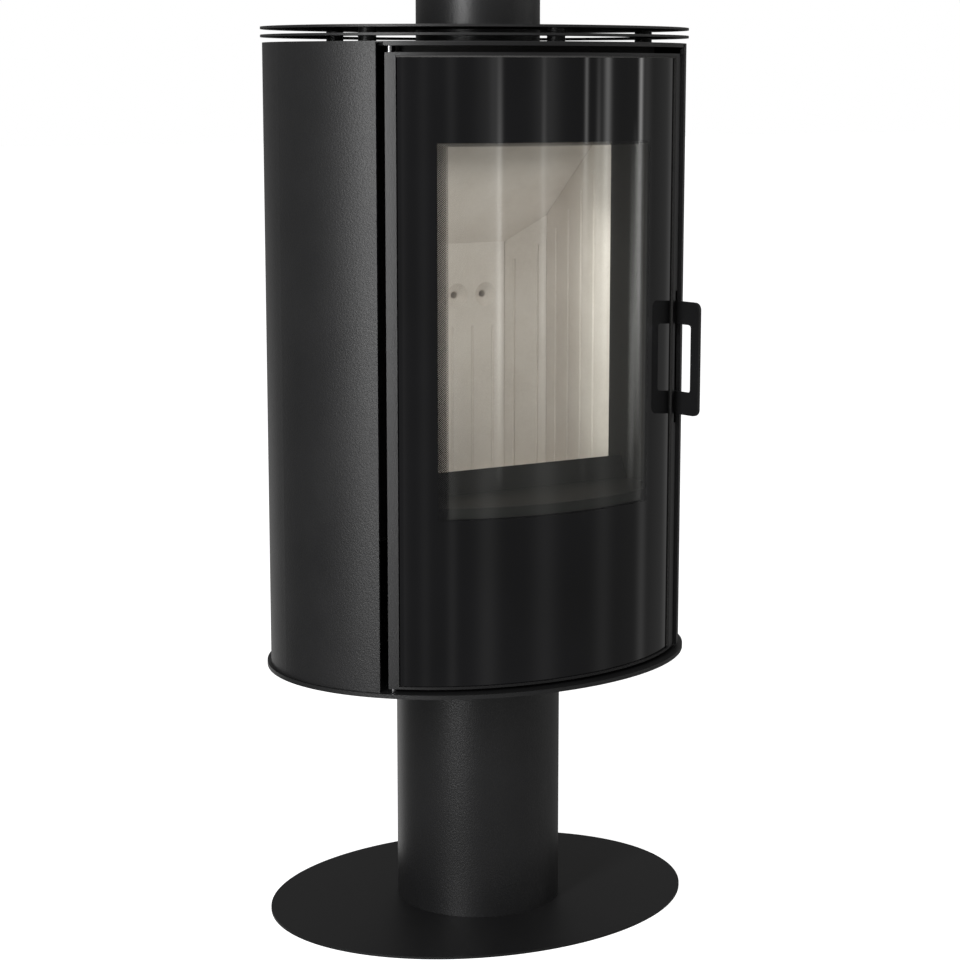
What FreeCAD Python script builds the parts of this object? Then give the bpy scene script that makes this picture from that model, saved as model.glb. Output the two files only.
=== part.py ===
"""Wood-burning stove: an oval steel body on a round column, with a curved glass door.

Millimetres, +Z up.  The origin is the centre of the floor plate's underside.
-Y is the front, where the door is; +X is the stove's right as seen from the front.
Most curved pieces follow the casing's oval, so they are placed by an inset from it.
"""
import FreeCAD, Part
import math
import os

V = FreeCAD.Vector

# ---------------------------------------------------------------- driving dimensions
# Plan ovals, as (half width, half depth)
FLOOR_PLATE = (274.0, 222.0)
BOTTOM_PLATE = (274.0, 221.5)
CASING = (270.2, 212.3)
TOP_PLATE = (271.7, 217.7)
TOP_RING_HOLE = (223.5, 174.5)

# Heights
FLOOR_THICK = 3.0
BODY_Z = 317.0
BOTTOM_THICK = 5.0
BOTTOM_TOP = BODY_Z + BOTTOM_THICK
CASING_TOP = 1071.0
TOP_SHEET = 1.5
TOP_RAIL = 3.5
LOWER_TOP_Z = 1077.3
UPPER_TOP_Z = 1086.7
TOP_PLATE_THICK = 2.8
TOTAL_HEIGHT = 1123.0

# Column and flue
COLUMN_R = 102.5
COLUMN_WALL = 3.0
RING_THICK = 8.0
RING_BORE_R = 74.0
RING_PCD = 176.0
FLUE_R = 75.0
FLUE_WALL = 3.0
AIR_SPIGOT_R = 50.0
AIR_BORE_R = 48.0

# Casing sheets
SHEET = 2.0
PANEL_FRONT_X = 214.0
HEM_WIDTH = 14.0
HEM_THICK = 3.2
REAR_JOINT_X = 150.0
POST_INNER_X = 138.0
POST_OUTER_X = 162.0
POST_THICK = 3.0
SPACER_R = 10.5
TOP_RING_Y = -4.0

# Fire chamber: inner faces of the lining, seen from above
FIRE_HALF = 160.0
FIRE_BACK = 130.0
FIRE_CHAMFER = 39.7
FIRE_FRONT = -53.6
LINING = 30.0
STEEL = 4.0
HEARTH_Z = 490.0
ROOF_Z = 1046.0
SILL_Z = 535.0
BAFFLE_REAR_Z = 820.5
BAFFLE_SLOPE = 0.885
BAFFLE_THICK = 20.0
BAFFLE_FRONT = -45.0
GRATE = (100.0, 75.0)
GRATE_Y = 35.0
AIR_HOLE_Z = 753.3
AIR_HOLE_X = (49.0, 91.6)
AIR_HOLE_R = 4.7
RECESS_R = 15.5
RECESS_DEPTH = 9.0

# Door: insets from the casing's outer face
DOOR_FACE = 4.0
DOOR_SHEET = 2.5
GLASS_FACE = DOOR_FACE + 2.5
GLASS_THICK = 4.0
GLASS_BACK = GLASS_FACE + GLASS_THICK
LEDGE_FACE = GLASS_BACK + 1.5
LEDGE_BACK = LEDGE_FACE + 2.0
INNER_FACE = 25.5
INNER_BACK = 28.0
ROPE_BACK = 33.6
FRAME_FACE = 34.0
FRAME_BACK = FRAME_FACE + STEEL
DOOR_EDGE_X = 204.5
DOOR_Z0 = 326.0
DOOR_Z1 = 1058.5
BOTTOM_RAIL = 3.0
DOOR_TOP_RAIL = 3.5
STILE_Z0 = DOOR_Z0 + BOTTOM_RAIL
STILE_Z1 = DOOR_Z1 - DOOR_TOP_RAIL
LEFT_STRIP = 12.6
RIGHT_OVERHANG = 2.6
RIGHT_STRIP = 19.4
GLASS_TOP = 1053.0
GLASS_GAP = 0.3
BEAD = 1.0
LEDGE_WIDTH = 17.0
LEDGE_REACH = 38.0
OPENING_HALF = 158.0
OPENING_Z0 = 500.0
OPENING_Z1 = 1005.0

# Front frame
JAMB_INNER = 160.0
JAMB_OUTER = 178.0
HEADER_Z0 = 1010.0
ASH_Z0 = 398.0
ASH_Z1 = 484.0

# Hinge, latch and handle
PIN_R = 3.0
FIT = 0.05
HINGE_FROM_EDGE = 4.0
HINGE_DEPTH = 8.0
HINGE_BLOCK = 22.0
LATCH = V(197.5, -113.8, 0)
LATCH_TURN = 20.0
SHAFT_R = 5.0
SHAFT_Z0 = 584.0
SHAFT_Z1 = 802.0
HANDLE_ANGLE = -82.5
HANDLE_REACH = 66.0
HANDLE_BAR = 14.0
HANDLE_ROOT = 14.0
HANDLE_THICK = 4.0
HANDLE_Z0 = 621.6
HANDLE_Z1 = 760.8
HANDLE_ARM = 28.0
NOTCH_MARGIN = 12.0
NOTCH_WIDTH = 8.2
CATCH_R = 6.0
CATCH_OFFSET = V(-10.6, 14.0, 0)

# Ash pan and air control
ASH_HALF = 122.0
ASH_REAR = 120.0
PAN_HALF = 119.0
PAN_FRONT = -118.0
PAN_REAR = 112.0
PAN_HEIGHT = 71.0
PAN_WALL = 1.5
AIR_BOX_HALF = 116.0
AIR_SLOT_PITCH = 30.0
AIR_SLOT_WIDTH = 14.0
AIR_SLOT_Y0 = -140.0
AIR_SLOT_Y1 = -112.0
AIR_TRAVEL = 15.0
KNOB_X = 90.0
KNOB_Y = -126.0
KNOB_R = 9.0

FAR = 400.0
EPS = 0.01


# ---------------------------------------------------------------- helpers
def oval(axes, z0, z1, inset=0.0):
    """Upright cylinder with an elliptical base."""
    curve = Part.Ellipse(V(0, 0, z0), axes[0] - inset, axes[1] - inset)
    return Part.Face(Part.Wire(curve.toShape())).extrude(V(0, 0, z1 - z0))


def shell(outer, inner, z0, z1):
    """Hollow oval wall between two insets from the casing."""
    return oval(CASING, z0, z1, outer).cut(oval(CASING, z0, z1, inner))


def box(x0, x1, y0, y1, z0, z1):
    return Part.makeBox(x1 - x0, y1 - y0, z1 - z0, V(x0, y0, z0))


def rod(x, y, r, z0, z1):
    return Part.makeCylinder(r, z1 - z0, V(x, y, z0))


def ring(x, y, r_out, r_in, z0, z1):
    return rod(x, y, r_out, z0, z1).cut(rod(x, y, r_in, z0, z1))


def prism(points, z0, z1):
    """Polygon of plan points, pushed up from z0 to z1."""
    corners = [V(p[0], p[1], z0) for p in points]
    wire = Part.makePolygon(corners + [corners[0]])
    return Part.Face(wire).extrude(V(0, 0, z1 - z0))


def profile(points, x0, x1):
    """Polygon of (y, z) points, pushed along X from x0 to x1."""
    corners = [V(x0, p[0], p[1]) for p in points]
    wire = Part.makePolygon(corners + [corners[0]])
    return Part.Face(wire).extrude(V(x1 - x0, 0, 0))


def mirrored(shape):
    return shape.mirror(V(0, 0, 0), V(1, 0, 0))


def group(shapes):
    return Part.makeCompound(shapes)


def union(shapes):
    return shapes[0].multiFuse(shapes[1:]).removeSplitter()


def edge_at(x, inset):
    """Front point of the inset oval at x, with its outward normal and its tangent towards +X."""
    a, b = CASING[0] - inset, CASING[1] - inset
    y = -b * math.sqrt(1 - (x / a) ** 2)
    normal = V(x / a ** 2, y / b ** 2, 0).normalize()
    return V(x, y, 0), normal, V(-normal.y, normal.x, 0)


def door_band(side, w0, w1, z0, z1):
    """Strip of space from w0 to w1 inside the door's side edge, square to its face."""
    p, n, t = edge_at(side * DOOR_EDGE_X, DOOR_FACE)
    t = t * -side
    pts = [p + n * 60 + t * w0, p - n * 60 + t * w0, p - n * 60 + t * w1, p + n * 60 + t * w1]
    return prism([(q.x, q.y) for q in pts], z0, z1)


def front_zone(x_left, x_right, inset, z0, z1):
    """Space in front, between the lines square to the oval at two of its points."""
    p, n, _ = edge_at(x_left, inset)
    q, m, _ = edge_at(x_right, inset)
    pts = [p - n * 50, p + n * FAR, V(0, -2 * FAR, 0), q + m * FAR, q - m * 50]
    return prism([(s.x, s.y) for s in pts], z0, z1)


def front_strip(outer, inner, x0, x1, z0, z1):
    """Curved front strip cut off square to the X axis."""
    return shell(outer, inner, z0, z1).common(box(x0, x1, -FAR, 0, z0, z1))


def door_strip(outer, inner, z0, z1):
    """Curved strip over the door's full width."""
    zone = front_zone(-DOOR_EDGE_X, DOOR_EDGE_X, DOOR_FACE, z0, z1)
    return shell(outer, inner, z0, z1).common(zone)


def fire_corner(offset):
    """Ends of the sloping corner face, at an offset outside the lining's inner face."""
    level = FIRE_HALF + FIRE_BACK - FIRE_CHAMFER + offset * math.sqrt(2)
    side = FIRE_HALF + offset
    back = FIRE_BACK + offset
    return (side, level - side), (level - back, back)


def baffle_z(y):
    """Height of the baffle's underside."""
    return BAFFLE_REAR_Z + BAFFLE_SLOPE * (FIRE_BACK - y)


def above_baffle(y0, y1):
    """Everything over the baffle's underside."""
    pts = [(y0, baffle_z(y0)), (y0, 2 * TOTAL_HEIGHT), (y1, 2 * TOTAL_HEIGHT), (y1, baffle_z(y1))]
    return profile(pts, -FAR, FAR)


def hex_bolt(x, y, r, head_z, tip_z):
    """Hexagon-headed bolt whose head stands on head_z."""
    pts = [(x + 1.9 * r * math.cos(k * math.pi / 3), y + 1.9 * r * math.sin(k * math.pi / 3))
           for k in range(6)]
    return prism(pts, head_z, head_z + 1.4 * r).fuse(rod(x, y, r, tip_z, head_z))


def circle_points(count, radius, start=0.0):
    turn = 2 * math.pi / count
    return [(radius * math.cos(start + k * turn), radius * math.sin(start + k * turn))
            for k in range(count)]


# ---------------------------------------------------------------- pedestal
FOOT_BOLTS = circle_points(6, RING_PCD / 2, math.pi / 6)
SCREW_R = 3.0
BOLT_R = 4.0


def countersunk(x, y, r, z_head, z_tip):
    """Countersunk screw; its flat head face is at z_head and its tip at z_tip."""
    down = 1 if z_tip > z_head else -1
    cone = Part.makeCone(1.7 * r, r, 0.7 * r, V(x, y, z_head), V(0, 0, down))
    start = V(x, y, z_head + down * 0.7 * r)
    shank = Part.makeCylinder(r, abs(z_tip - z_head) - 0.7 * r, start, V(0, 0, down))
    return cone.fuse(shank)


def base_screws():
    return group([countersunk(x, y, BOLT_R, 0, FLOOR_THICK + RING_THICK) for x, y in FOOT_BOLTS])


def floor_plate():
    plate = oval(FLOOR_PLATE, 0, FLOOR_THICK)
    plate = plate.cut(rod(0, 0, RING_BORE_R, 0, FLOOR_THICK))
    return plate.cut(base_screws())


def pedestal_column():
    return ring(0, 0, COLUMN_R, COLUMN_R - COLUMN_WALL, FLOOR_THICK, BODY_Z)


def column_rings():
    """Drilled rings welded into both ends of the column."""
    rings = []
    for z0 in (FLOOR_THICK, BODY_Z - RING_THICK):
        plate = ring(0, 0, COLUMN_R - COLUMN_WALL, RING_BORE_R, z0, z0 + RING_THICK)
        rings.append(plate.cut(group([rod(x, y, BOLT_R, z0, z0 + RING_THICK) for x, y in FOOT_BOLTS])))
    return group(rings)


def column_head_bolts():
    return group([hex_bolt(x, y, BOLT_R, BOTTOM_TOP, BODY_Z - RING_THICK) for x, y in FOOT_BOLTS])


# ---------------------------------------------------------------- body plates and casing
def hinge_axis():
    p, n, t = edge_at(-DOOR_EDGE_X, DOOR_FACE)
    return p + t * HINGE_FROM_EDGE - n * HINGE_DEPTH


HINGE = hinge_axis()
AIR_SLOTS = [-52.0 + AIR_SLOT_PITCH * k for k in range(4)]


def air_slots(z0, z1):
    return [box(x, x + AIR_SLOT_WIDTH, AIR_SLOT_Y0, AIR_SLOT_Y1, z0, z1) for x in AIR_SLOTS]


def bottom_plate():
    z0, z1 = BODY_Z, BOTTOM_TOP
    plate = oval(BOTTOM_PLATE, z0, z1)
    holes = [rod(x, y, BOLT_R, z0, z1) for x, y in FOOT_BOLTS]
    holes += [rod(0, 0, AIR_BORE_R, z0, z1), rod(HINGE.x, HINGE.y, PIN_R, z0, z1)]
    holes += air_slots(z0, z1)
    holes += [box(KNOB_X - 5, KNOB_X + AIR_TRAVEL + 5, KNOB_Y - 4, KNOB_Y + 4, z0, z1)]
    return plate.cut(group(holes))


def body_top_plate():
    z0, z1 = CASING_TOP - TOP_SHEET, CASING_TOP
    plate = oval(CASING, z0, z1, SHEET)
    zone = front_zone(-PANEL_FRONT_X, PANEL_FRONT_X, 0, z0, z1)
    plate = plate.fuse(oval(CASING, z0, z1).common(zone)).removeSplitter()
    holes = [rod(0, 0, FLUE_R + 5, z0, z1)]
    holes += [rod(x, y, SCREW_R, z0, z1) for x, y in SPACERS]
    return plate.cut(group(holes))


def front_top_rail():
    z1 = CASING_TOP - TOP_SHEET
    rail = front_strip(0, FRAME_BACK, -207.5, 207.5, z1 - TOP_RAIL, z1)
    return rail.cut(rod(HINGE.x, HINGE.y, PIN_R, z1 - TOP_RAIL, z1))


def side_panel(side):
    """Bent side sheet whose front edge is stiffened by a flat bar welded behind it."""
    z0, z1 = BOTTOM_TOP, CASING_TOP
    front = front_zone(-PANEL_FRONT_X, PANEL_FRONT_X, 0, z0, z1)
    rear = front_zone(-REAR_JOINT_X, REAR_JOINT_X, 0, z0, z1).mirror(V(0, 0, 0), V(0, 1, 0))
    half = box(0, FAR, -FAR, FAR, z0, z1)
    skin = shell(0, SHEET, z0, z1).cut(front).cut(rear).common(half)
    p, n, t = edge_at(PANEL_FRONT_X, 0)
    pts = [p + n * 30, p - n * 30, p - n * 30 + t * HEM_WIDTH, p + n * 30 + t * HEM_WIDTH]
    hem = shell(SHEET, SHEET + HEM_THICK, z0, z1 - TOP_SHEET - TOP_RAIL - 1)
    hem = hem.common(prism([(q.x, q.y) for q in pts], z0, z1))
    panel = union([skin, hem])
    return panel if side > 0 else mirrored(panel)


def rear_screw_axes():
    """Places and outward directions of the rear panel's screws."""
    axes = []
    for side in (-1, 1):
        p, n, _ = edge_at(side * (REAR_JOINT_X - 7), 0)
        for z in (372.0, 700.0, 1030.0):
            axes.append((V(p.x, -p.y, z), V(n.x, -n.y, 0)))
    return axes


def rear_panel_screws():
    screws = []
    for p, n in rear_screw_axes():
        shank = Part.makeCylinder(2.5, 12, p - n * 12, n)
        head = Part.makeCylinder(5.0, 2.5, p, n)
        screws.append(head.makeFillet(1.2, [head.Edges[0]]).fuse(shank))
    return group(screws)


def rear_panel():
    z0, z1 = BOTTOM_TOP, CASING_TOP
    zone = front_zone(-REAR_JOINT_X + 0.5, REAR_JOINT_X - 0.5, 0, z0, z1)
    zone = zone.mirror(V(0, 0, 0), V(0, 1, 0))
    panel = shell(0, SHEET, z0, z1).common(zone)
    slots = []
    for row in range(6):
        for base in (350.0, 985.0):
            slots.append(box(-85, 85, 0, FAR, base + 12 * row, base + 12 * row + 5))
    panel = panel.cut(group(slots))
    for p, n in rear_screw_axes():
        panel = panel.cut(Part.makeCylinder(2.6, 12, p - n * 8, n))
    return panel


def rear_posts():
    z0, z1 = BOTTOM_TOP, CASING_TOP - TOP_SHEET
    posts = []
    for side in (-1, 1):
        lo, hi = sorted((side * POST_INNER_X, side * POST_OUTER_X))
        wall = shell(SHEET, SHEET + POST_THICK, z0, z1)
        posts.append(wall.common(box(lo, hi, 0, FAR, z0, z1)))
    cuts = [Part.makeCylinder(2.5, 30, p - n * 20, n) for p, n in rear_screw_axes()]
    return group([post.cut(group(cuts)) for post in posts])


# ---------------------------------------------------------------- top plates and flue
SPACERS = [(0.0, -171.2), (192.8, -72.7), (-192.8, -72.7), (123.5, 134.3), (-123.5, 134.3)]
COLLAR_SCREWS = circle_points(4, FLUE_R + 10, math.pi / 4)


def top_plate(z0):
    plate = oval(TOP_PLATE, z0, z0 + TOP_PLATE_THICK)
    return plate.cut(group([rod(x, y, SCREW_R, z0, z0 + TOP_PLATE_THICK) for x, y in SPACERS]))


def upper_top_plate():
    z1 = UPPER_TOP_Z + TOP_PLATE_THICK
    plate = top_plate(UPPER_TOP_Z).cut(rod(0, 0, FLUE_R + 1.5, UPPER_TOP_Z, z1))
    return plate.cut(group([countersunk(x, y, SCREW_R, z1, z1 - 20) for x, y in SPACERS]))


def tongue(x, y, z0, z1):
    """Round-ended lug that reaches in from the rim to one spacer."""
    out = V(x / TOP_PLATE[0] ** 2, y / TOP_PLATE[1] ** 2, 0).normalize() * 20
    across = V(-out.y, out.x, 0).normalize() * SPACER_R
    centre = V(x, y, 0)
    pts = [centre + across, centre - across, centre - across + out, centre + across + out]
    return prism([(p.x, p.y) for p in pts], z0, z1).fuse(rod(x, y, SPACER_R, z0, z1))


def lower_top_plate():
    """Oval ring, open in the middle, with a lug under each spacer."""
    z0, z1 = LOWER_TOP_Z, LOWER_TOP_Z + TOP_PLATE_THICK
    opening = oval(TOP_RING_HOLE, z0, z1)
    opening.translate(V(0, TOP_RING_Y, 0))
    for x, y in SPACERS:
        opening = opening.cut(tongue(x, y, z0, z1))
    return top_plate(z0).cut(opening)


def top_spacers():
    gaps = [(CASING_TOP, LOWER_TOP_Z), (LOWER_TOP_Z + TOP_PLATE_THICK, UPPER_TOP_Z)]
    return group([ring(x, y, SPACER_R, SCREW_R, z0, z1) for x, y in SPACERS for z0, z1 in gaps])


def top_plate_screws():
    """Screws through both plates, each with a nut trimmed to clear the front rail."""
    head = UPPER_TOP_Z + TOP_PLATE_THICK
    under = CASING_TOP - TOP_SHEET
    screws = []
    for x, y in SPACERS:
        nut = ring(x, y, 5.5, SCREW_R, under - 5, under)
        nut = nut.common(oval(CASING, under - 5, under, FRAME_BACK + 0.1))
        screws.append(countersunk(x, y, SCREW_R, head, under - 6).fuse(nut))
    return group(screws)


def flue_collar():
    flange = rod(0, 0, FLUE_R + 18, ROOF_Z + STEEL, ROOF_Z + STEEL + 3)
    collar = rod(0, 0, FLUE_R, ROOF_Z + STEEL, TOTAL_HEIGHT).fuse(flange)
    collar = collar.cut(rod(0, 0, FLUE_R - FLUE_WALL, ROOF_Z, TOTAL_HEIGHT))
    for x, y in COLLAR_SCREWS:
        collar = collar.cut(rod(x, y, SCREW_R, ROOF_Z, ROOF_Z + 10))
    return collar


def flue_collar_screws():
    z = ROOF_Z + STEEL + 3
    return group([hex_bolt(x, y, SCREW_R, z, ROOF_Z) for x, y in COLLAR_SCREWS])


# ---------------------------------------------------------------- firebox steelwork
def firebox_side(side):
    front = FIRE_FRONT - STEEL
    inner, outer = FIRE_HALF + LINING, FIRE_HALF + LINING + STEEL
    pts = [(inner, front), (outer, front), fire_corner(LINING + STEEL)[0], fire_corner(LINING)[0]]
    wall = prism(pts, BOTTOM_TOP, ROOF_Z)
    return wall if side > 0 else mirrored(wall)


def air_hole_xs():
    return [side * x for x in AIR_HOLE_X for side in (-1, 1)]


def firebox_back():
    inner, outer = fire_corner(LINING), fire_corner(LINING + STEEL)
    right = [inner[0], outer[0], outer[1]]
    left = [(-x, y) for x, y in reversed(right)]
    pts = right + left + [(-inner[1][0], inner[1][1]), inner[1]]
    wall = prism(pts, BOTTOM_TOP, ROOF_Z)
    y = FIRE_BACK + LINING - 1
    holes = [Part.makeCylinder(AIR_HOLE_R, 10, V(x, y, AIR_HOLE_Z), V(0, 1, 0)) for x in air_hole_xs()]
    holes.append(box(-60, 60, y, y + 10, 335, 385))
    return wall.cut(group(holes))


def chamber_outline(offset, front):
    side, back = fire_corner(offset)
    right = [(side[0], front), side, back]
    return right + [(-x, y) for x, y in reversed(right)]


def firebox_roof():
    z0, z1 = ROOF_Z, ROOF_Z + STEEL
    chamber = prism(chamber_outline(LINING + STEEL, FIRE_FRONT - STEEL), z0, z1)
    throat = box(-FIRE_HALF - STEEL, FIRE_HALF + STEEL, -FAR, FIRE_FRONT - STEEL, z0, z1)
    throat = throat.common(oval(CASING, z0, z1, FRAME_BACK))
    holes = [rod(0, 0, FLUE_R - FLUE_WALL, z0, z1)]
    holes += [rod(x, y, SCREW_R, z0, z1) for x, y in COLLAR_SCREWS]
    return union([chamber, throat]).cut(group(holes))


def firebox_floor():
    plate = prism(chamber_outline(LINING, FIRE_FRONT - STEEL), HEARTH_Z - STEEL, HEARTH_Z)
    gx, gy = GRATE[0] - 10, GRATE[1] - 10
    return plate.cut(box(-gx, gx, GRATE_Y - gy, GRATE_Y + gy, HEARTH_Z - STEEL, HEARTH_Z))


def throat(side):
    """Steel cheek between the lining and the front frame, with its fold to the side wall."""
    cheek = box(FIRE_HALF, FIRE_HALF + STEEL, -FAR, FIRE_FRONT, HEARTH_Z, ROOF_Z)
    cheek = cheek.common(oval(CASING, HEARTH_Z, ROOF_Z, FRAME_BACK))
    fold = box(FIRE_HALF, FIRE_HALF + LINING, FIRE_FRONT - STEEL, FIRE_FRONT, HEARTH_Z, ROOF_Z)
    piece = union([cheek, fold])
    return piece if side > 0 else mirrored(piece)


def front_frame():
    """Curved plate behind the door with the fire opening and the ash opening cut out of it."""
    z1 = CASING_TOP - TOP_SHEET - TOP_RAIL
    frame = front_strip(FRAME_FACE, FRAME_BACK, -JAMB_OUTER, JAMB_OUTER, BOTTOM_TOP, z1)
    fire = box(-JAMB_INNER, JAMB_INNER, -FAR, 0, SILL_Z, HEADER_Z0)
    ash = box(-ASH_HALF, ASH_HALF, -FAR, 0, ASH_Z0, ASH_Z1)
    return frame.cut(group([fire, ash]))


def hearth_sill():
    """Curved shelf in front of the fire, folded down behind to the hearth and in front to a lip."""
    rear = -60.0
    width = JAMB_INNER - 8
    shelf = oval(CASING, SILL_Z, SILL_Z + STEEL, 13.0).common(box(-width, width, -FAR, rear, 0, FAR * 3))
    inside = oval(CASING, SILL_Z, SILL_Z + STEEL, FRAME_BACK)
    inside = inside.common(box(-FIRE_HALF + 0.5, FIRE_HALF - 0.5, -FAR, rear, 0, FAR * 3))
    back = box(-FIRE_HALF + 0.5, FIRE_HALF - 0.5, rear - STEEL, rear, HEARTH_Z, SILL_Z)
    lip = front_strip(13.0, 15.0, -width, width, SILL_Z - 8, SILL_Z)
    return union([shelf, inside, back, lip])


def log_guard():
    """Leaning plate that keeps logs off the glass, with two feet behind it."""
    z0 = SILL_Z + STEEL
    plate = profile([(-97, z0), (-83, z0 + 27), (-80.5, z0 + 25.7), (-94, z0)], -158, 158)
    feet = [box(x - 15, x + 15, -94.5, -74, z0, z0 + 3) for x in (-110, 110)]
    return union([plate] + feet)


# ---------------------------------------------------------------- lining, baffle and grate
GROOVE_HALF = 2.0
GROOVE_DEPTH = 2.0


def groove(x, y, normal, z0, z1):
    """V-groove cut into a face whose outward normal is given."""
    n = V(normal[0], normal[1], 0).normalize()
    t = V(-n.y, n.x, 0)
    p = V(x, y, 0)
    pts = [p + t * GROOVE_HALF + n, p - t * GROOVE_HALF + n, p - t * GROOVE_HALF,
           p - n * GROOVE_DEPTH, p + t * GROOVE_HALF]
    return prism([(q.x, q.y) for q in pts], z0, z1)


def lining_back():
    x = fire_corner(0)[1][0]
    brick = box(-x, x, FIRE_BACK, FIRE_BACK + LINING, HEARTH_Z, ROOF_Z)
    brick = brick.cut(above_baffle(FIRE_BACK - 5, FIRE_BACK + LINING + 5))
    cuts = []
    for hole_x in air_hole_xs():
        face = V(hole_x, FIRE_BACK, AIR_HOLE_Z)
        cuts.append(Part.makeCone(RECESS_R, AIR_HOLE_R, RECESS_DEPTH, face, V(0, 1, 0)))
        cuts.append(Part.makeCylinder(AIR_HOLE_R, LINING, face, V(0, 1, 0)))
    for k in range(4):
        for side in (-1, 1):
            cuts.append(groove(side * (10.2 + 30.8 * k), FIRE_BACK, (0, -1), HEARTH_Z, 713.0))
    return brick.cut(group(cuts))


def lining_corner(side):
    inner, outer = fire_corner(0), fire_corner(LINING)
    gap = 0.6
    pts = [(inner[0][0], inner[0][1] + gap), (outer[0][0] - gap, outer[0][1] + gap),
           outer[1], (inner[1][0] + gap, inner[1][1] + LINING), (inner[1][0] + gap, inner[1][1])]
    brick = prism(pts, HEARTH_Z, ROOF_Z).cut(above_baffle(FIRE_BACK - 60, FIRE_BACK + LINING + 5))
    for along in (13.2, 44.0):
        x = inner[1][0] + along / math.sqrt(2)
        y = inner[1][1] - along / math.sqrt(2)
        brick = brick.cut(groove(x, y, (-1, -1), HEARTH_Z, baffle_z(y) - 31))
    return brick if side > 0 else mirrored(brick)


def lining_side(side):
    inner, outer = fire_corner(0)[0], fire_corner(LINING)[0]
    pts = [(FIRE_HALF, FIRE_FRONT), (FIRE_HALF + LINING, FIRE_FRONT), outer, inner]
    brick = prism(pts, HEARTH_Z, ROOF_Z - 4)
    for k in range(4):
        y = 68.6 - 28.6 * k
        brick = brick.cut(groove(FIRE_HALF, y, (-1, 0), HEARTH_Z, baffle_z(y) - 35))
    return brick if side > 0 else mirrored(brick)


def lining_base():
    side, back = fire_corner(-0.5)
    right = [(side[0], FIRE_FRONT), side, back]
    brick = prism(right + [(-x, y) for x, y in reversed(right)], HEARTH_Z, HEARTH_Z + 25)
    gx, gy = GRATE[0] + 2, GRATE[1] + 2
    return brick.cut(box(-gx, gx, GRATE_Y - gy, GRATE_Y + gy, HEARTH_Z, HEARTH_Z + 25))


def baffle():
    """Sloping deflector that rests on the bevelled tops of the back and corner bricks."""
    rise = BAFFLE_THICK * math.hypot(1, BAFFLE_SLOPE)
    y0, y1 = BAFFLE_FRONT, FIRE_BACK + LINING - 2
    pts = [(y0, baffle_z(y0)), (y1, baffle_z(y1)), (y1, baffle_z(y1) + rise), (y0, baffle_z(y0) + rise)]
    slab = profile(pts, -FIRE_HALF + 0.5, FIRE_HALF - 0.5)
    side, back = fire_corner(LINING - 2)
    corner = prism([side, (side[0], FAR), (back[0], FAR), back], 0, 2 * TOTAL_HEIGHT)
    return slab.cut(corner).cut(mirrored(corner))


def grate():
    z0, z1 = HEARTH_Z, HEARTH_Z + 12
    plate = box(-GRATE[0], GRATE[0], GRATE_Y - GRATE[1], GRATE_Y + GRATE[1], z0, z1)
    slots = []
    for k in range(-4, 5):
        x = 19.0 * k
        slots.append(box(x - 4, x + 4, GRATE_Y - 58, GRATE_Y - 4, z0, z1))
        slots.append(box(x - 4, x + 4, GRATE_Y + 4, GRATE_Y + 58, z0, z1))
    return plate.cut(group(slots))


# ---------------------------------------------------------------- ash pan and air supply
def ash_housing():
    z0, z1 = ASH_Z0, HEARTH_Z - STEEL
    outer = box(-ASH_HALF - 2, ASH_HALF + 2, -FAR, ASH_REAR + 2, z0, z1)
    outer = outer.common(oval(CASING, z0, z1, FRAME_BACK))
    hollow = box(-ASH_HALF, ASH_HALF, -FAR, ASH_REAR, z0 + 2, z1)
    air_port = box(-40, 40, 60, 110, z0, z0 + 2)
    return outer.cut(hollow).cut(air_port)


def ash_pan():
    """Open sheet tray with a folded grip spot-welded to its front."""
    z0, w = ASH_Z0 + 2.5, PAN_WALL
    z1 = z0 + PAN_HEIGHT
    pan = box(-PAN_HALF, PAN_HALF, PAN_FRONT, PAN_REAR, z0, z1)
    pan = pan.cut(box(-PAN_HALF + w, PAN_HALF - w, PAN_FRONT + w, PAN_REAR - w, z0 + w, z1))
    z = z0 + 0.5 * PAN_HEIGHT
    grip = box(-40, 40, PAN_FRONT - 12, PAN_FRONT, z, z + w)
    lip = box(-40, 40, PAN_FRONT - 12, PAN_FRONT - 12 + w, z, z + 10)
    return union([pan, grip, lip])


def air_box():
    z0, z1 = BOTTOM_TOP, ASH_Z0
    h = AIR_BOX_HALF
    rear = FIRE_BACK + LINING
    outer = box(-h, h, -150, rear, z0, z1)
    inner = box(-h + 1.5, h - 1.5, -148.5, rear, z0, z1)
    return outer.cut(inner)


def air_spigot():
    """Hose spigot whose flange is welded under the bottom plate, inside the column."""
    flange = rod(0, 0, AIR_SPIGOT_R + 12, BODY_Z - 3, BODY_Z)
    tube = rod(0, 0, AIR_SPIGOT_R, BODY_Z - 50, BODY_Z)
    return flange.fuse(tube).cut(rod(0, 0, AIR_BORE_R, BODY_Z - 50, BODY_Z))


def secondary_air_duct():
    y0, y1 = FIRE_BACK + LINING + STEEL, FIRE_BACK + LINING + STEEL + 18
    outer = box(-100, 100, y0, y1, BOTTOM_TOP + 4, AIR_HOLE_Z + 22)
    return outer.cut(box(-98.5, 98.5, y0, y1 - 1.5, BOTTOM_TOP + 5.5, AIR_HOLE_Z + 20.5))


def air_slide_guides():
    z = BOTTOM_TOP
    guides = []
    for y0, y1, lip0, lip1 in ((-148.5, -146.5, -148.5, -143.5), (-105.5, -103.5, -108.5, -103.5)):
        guides.append(box(-72, 108, y0, y1, z, z + 4).fuse(box(-72, 108, lip0, lip1, z + 3, z + 4.5)))
    return group([guide.removeSplitter() for guide in guides])


def air_slide():
    z0, z1 = BOTTOM_TOP + 0.4, BOTTOM_TOP + 2.4
    plate = box(-70, 97, -146, -106, z0, z1)
    return plate.cut(group(air_slots(z0, z1))).cut(rod(KNOB_X, KNOB_Y, PIN_R, z0, z1))


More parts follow.
